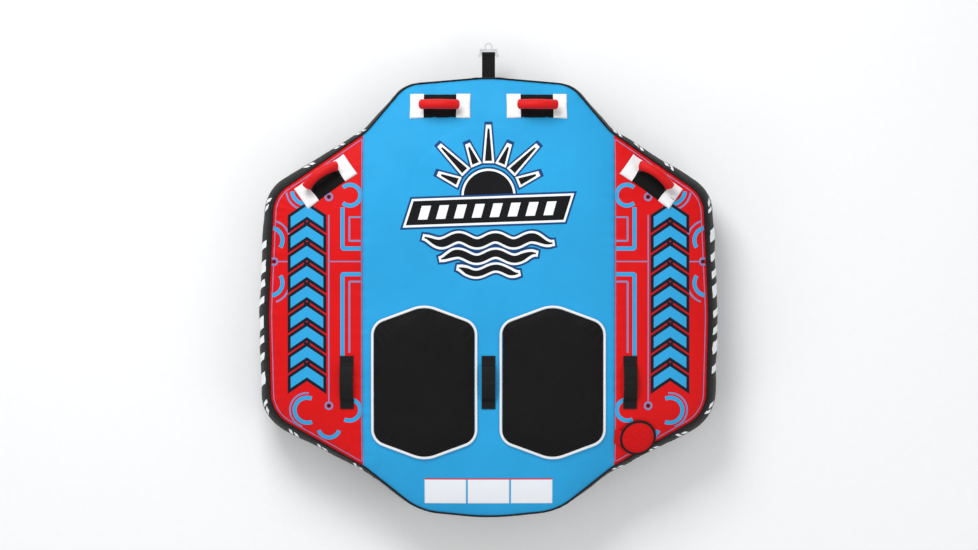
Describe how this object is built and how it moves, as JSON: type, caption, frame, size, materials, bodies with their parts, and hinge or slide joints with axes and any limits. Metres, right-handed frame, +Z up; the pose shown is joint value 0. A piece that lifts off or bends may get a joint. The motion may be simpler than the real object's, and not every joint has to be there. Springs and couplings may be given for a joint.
{
  "type": "towable tube",
  "caption": "Inflatable deck tube towed behind a boat: a bladder in a zipped fabric cover with seat pads, padded handles, a strap tow point and a flap-covered air valve.",
  "frame": {"origin": "middle of the flat underside, on the resting plane", "axes": "+Z up, +Y towards the tow point and the direction of travel, +X to the rider's right"},
  "size_m": [1.6834, 1.7426, 0.3775],
  "materials": {
    "cover_blue": "satin",
    "cover_red": "satin",
    "cover_black": "satin",
    "binding_black": "matte",
    "bladder_film": "satin",
    "valve_white": "satin",
    "valve_black": "satin",
    "seal_rubber": "matte",
    "pad_black": "matte",
    "piping_white": "satin",
    "patch_white": "matte",
    "webbing_black": "matte",
    "grip_red": "satin",
    "fitting_alloy": "satin",
    "coil_grey": "satin",
    "slider_metal": "satin",
    "label_white": "satin"
  },
  "bodies": {
    "hull": {"cover_deck_center": "cover_blue", "cover_deck_left": "cover_red", "cover_deck_right": "cover_red", "cover_side_band": "cover_black", "cover_bottom": "cover_black", "seam_piping_top": "binding_black", "seam_piping_bottom": "binding_black", "bladder_top_skin": "bladder_film", "bladder_bottom_skin": "bladder_film", "bladder_baffles": "bladder_film", "valve_base": "valve_white", "valve_insert": "valve_white", "valve_tether": "valve_black", "valve_port_binding": "binding_black", "valve_flap_hinge_tab": "cover_black", "seat_pad_left": "pad_black", "seat_pad_right": "pad_black", "seat_piping_left": "piping_white", "seat_piping_right": "piping_white", "handle_front_left_guard": "pad_black", "handle_front_right_guard": "pad_black", "handle_side_left_guard": "pad_black", "handle_side_right_guard": "pad_black", "handle_front_left_patches": "patch_white", "handle_front_right_patches": "patch_white", "handle_side_left_patches": "patch_white", "handle_side_right_patches": "patch_white", "handle_strap_tails": "webbing_black", "grab_strap_tabs": "webbing_black", "tow_patch": "cover_black", "zipper_tapes": "cover_black", "zipper_teeth": "coil_grey", "info_label": "label_white"},
    "tow_strap_body": {"tow_strap": "webbing_black"},
    "tow_fitting_body": {"tow_fitting": "fitting_alloy"},
    "handle_front_left_loop": {"handle_front_left_core": "webbing_black", "handle_front_left_grip": "grip_red"},
    "handle_front_right_loop": {"handle_front_right_core": "webbing_black", "handle_front_right_grip": "grip_red"},
    "handle_side_left_loop": {"handle_side_left_core": "webbing_black", "handle_side_left_grip": "grip_red"},
    "handle_side_right_loop": {"handle_side_right_core": "webbing_black", "handle_side_right_grip": "grip_red"},
    "grab_left_loop": {"grab_strap_left": "webbing_black"},
    "grab_center_loop": {"grab_strap_center": "webbing_black"},
    "grab_right_loop": {"grab_strap_right": "webbing_black"},
    "valve_flap_body": {"valve_flap": "cover_red", "valve_flap_binding": "binding_black"},
    "valve_cap_body": {"valve_cap": "valve_black", "valve_cap_seal": "seal_rubber"},
    "valve_diaphragm_body": {"valve_diaphragm": "seal_rubber"},
    "zipper_slider_body": {"zipper_slider": "slider_metal"},
    "zipper_pull_body": {"zipper_pull": "slider_metal"}
  },
  "joints": [
    {"name": "tow_strap_swing", "type": "hinge", "parent": "hull", "child": "tow_strap_body", "pos_m": [0, 0.8135, 0.156], "axis": [1, 0, 0], "range_deg": [-60, 60]},
    {"name": "tow_fitting_swivel", "type": "hinge", "parent": "tow_strap_body", "child": "tow_fitting_body", "pos_m": [0, 0.8955, 0.156], "axis": [1, 0, 0], "range_deg": [-90, 90]},
    {"name": "handle_front_left_flop", "type": "hinge", "parent": "hull", "child": "handle_front_left_loop", "pos_m": [-0.17656, 0.70009, 0.30701], "axis": [0.9988, 0, 0.0493], "range_deg": [-64, 36]},
    {"name": "handle_front_right_flop", "type": "hinge", "parent": "hull", "child": "handle_front_right_loop", "pos_m": [0.17656, 0.70009, 0.30701], "axis": [0.9988, 0, -0.0493], "range_deg": [-64, 36]},
    {"name": "handle_side_left_flop", "type": "hinge", "parent": "hull", "child": "handle_side_left_loop", "pos_m": [-0.59539, 0.4264, 0.30168], "axis": [0.8161, 0.5779, -0.0013], "range_deg": [-36, 64]},
    {"name": "handle_side_right_flop", "type": "hinge", "parent": "hull", "child": "handle_side_right_loop", "pos_m": [0.59539, 0.4264, 0.30168], "axis": [0.8161, -0.5779, 0.0013], "range_deg": [-36, 64]},
    {"name": "grab_left_tip", "type": "hinge", "parent": "hull", "child": "grab_left_loop", "pos_m": [-0.51466, -0.30833, 0.32917], "axis": [-0.0027, 0.9993, 0.0366], "range_deg": [-15, 15]},
    {"name": "grab_center_tip", "type": "hinge", "parent": "hull", "child": "grab_center_loop", "pos_m": [0, -0.3081, 0.33722], "axis": [0, 0.9999, 0.0115], "range_deg": [-15, 15]},
    {"name": "grab_right_tip", "type": "hinge", "parent": "hull", "child": "grab_right_loop", "pos_m": [0.51466, -0.30833, 0.32917], "axis": [0.0027, 0.9993, 0.0366], "range_deg": [-15, 15]},
    {"name": "valve_flap_open", "type": "hinge", "parent": "hull", "child": "valve_flap_body", "pos_m": [0.47231, -0.5102, 0.3032], "axis": [-0.0719, -0.9394, -0.3352], "range_deg": [0, 140]},
    {"name": "valve_cap_turn", "type": "hinge", "parent": "hull", "child": "valve_cap_body", "pos_m": [0.54397, -0.51068, 0.28918], "axis": [0.197, -0.3429, 0.9185], "range_deg": [0, 330]},
    {"name": "valve_diaphragm_open", "type": "hinge", "parent": "hull", "child": "valve_diaphragm_body", "pos_m": [0.5226, -0.50242, 0.2706], "axis": [0.0719, 0.9394, 0.3352], "range_deg": [0, 55]},
    {"name": "zipper_run", "type": "slide", "parent": "hull", "child": "zipper_slider_body", "axis": [1, 0, 0], "range_m": [0, 0.81]},
    {"name": "zipper_pull_flip", "type": "hinge", "parent": "zipper_slider_body", "child": "zipper_pull_body", "pos_m": [-0.4126, -0.42, 0.00095], "axis": [0, 1, 0], "range_deg": [0, 120]}
  ]
}
